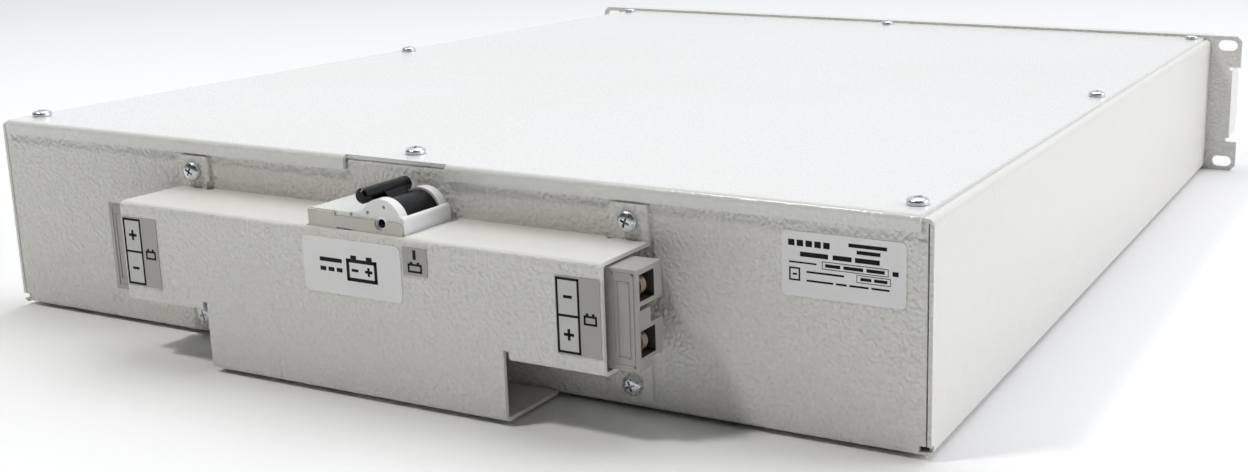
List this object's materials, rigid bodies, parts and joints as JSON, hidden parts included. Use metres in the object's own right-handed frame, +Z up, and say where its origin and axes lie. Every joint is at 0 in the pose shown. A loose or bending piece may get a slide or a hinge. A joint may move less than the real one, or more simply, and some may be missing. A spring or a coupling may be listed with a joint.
{
  "type": "server rack battery",
  "caption": "Two-unit rack battery module: steel case with sealed blocks in series, panel ears with grips, rear bracket with a breaker and power connectors.",
  "frame": {"origin": "middle of the footprint, at the lowest edge of the front panel", "axes": "+Z up, +Y to the front panel, -Y to the rear where the breaker and connectors are, +X to the right seen from the rear"},
  "size_m": [0.4826, 0.5814, 0.0892],
  "materials": {
    "painted_steel": "textured light grey powder coat",
    "fascia_plastic": "fine texture",
    "zinc_steel": "bright zinc plate",
    "white_plastic": "smooth moulded",
    "cover_plastic": "fine matt",
    "grey_plastic": "fine matt",
    "black_plastic": "smooth moulded",
    "copper": "bare metal",
    "battery_plastic": "fine texture",
    "foam": "closed-cell foam",
    "red_rubber": "soft matt",
    "blue_rubber": "soft matt",
    "black_rubber": "soft matt",
    "fuse_ceramic": "glazed ceramic",
    "label_film": "satin film",
    "label_dark": "satin film"
  },
  "bodies": {
    "case": {"case_tray": "painted_steel", "top_cover": "painted_steel", "lid_screws": "zinc_steel", "lid_nuts": "zinc_steel", "front_panel": "painted_steel", "front_fascia": "fascia_plastic", "fascia_screws": "zinc_steel", "panel_screws": "zinc_steel", "rear_bracket": "painted_steel", "bracket_screws": "zinc_steel", "bracket_nuts": "zinc_steel", "breaker_housing": "white_plastic", "breaker_side_cover": "cover_plastic", "breaker_pin": "zinc_steel", "breaker_rivets": "zinc_steel", "breaker_clamps": "zinc_steel", "din_rail": "zinc_steel", "rail_screws": "zinc_steel", "connector_left": "grey_plastic", "connector_right": "grey_plastic", "contacts_left": "copper", "contacts_right": "copper", "connector_studs": "zinc_steel", "connector_nuts": "zinc_steel", "cable_grommets": "black_rubber", "junction_block": "black_plastic", "junction_bars": "copper", "junction_screws": "zinc_steel", "fuse_holder": "black_plastic", "fuse_link": "fuse_ceramic", "battery_1": "battery_plastic", "battery_2": "battery_plastic", "battery_3": "battery_plastic", "battery_4": "battery_plastic", "battery_5": "battery_plastic", "battery_6": "battery_plastic", "battery_7": "battery_plastic", "battery_8": "battery_plastic", "battery_lids": "battery_plastic", "battery_tabs": "zinc_steel", "tab_boots": "red_rubber", "base_pads": "foam", "foam_pads": "foam", "hold_down_rear": "zinc_steel", "hold_down_middle": "zinc_steel", "hold_down_front": "zinc_steel", "hold_down_posts": "zinc_steel", "hold_down_screws": "zinc_steel", "cable_string_plus": "red_rubber", "cable_string_minus": "blue_rubber", "cable_breaker_out": "red_rubber", "connector_leads_left": "black_rubber", "connector_leads_right": "black_rubber", "series_jumpers": "black_rubber", "rating_label": "label_film", "voltage_label": "label_film", "switch_label": "label_dark", "polarity_labels": "label_dark"},
    "breaker_handle": {"breaker_handle": "black_plastic"},
    "breaker_rail_clip": {"breaker_rail_clip": "grey_plastic"}
  },
  "joints": [
    {"name": "handle_swing", "type": "hinge", "parent": "case", "child": "breaker_handle", "pos_m": [0.0176, -0.27525, 0.06955], "axis": [0, 1, 0], "range_deg": [0, 87]},
    {"name": "rail_clip_slide", "type": "slide", "parent": "case", "child": "breaker_rail_clip", "axis": [-1, 0, 0], "range_m": [0, 0.004], "stiffness_N_per_m": 1500}
  ]
}
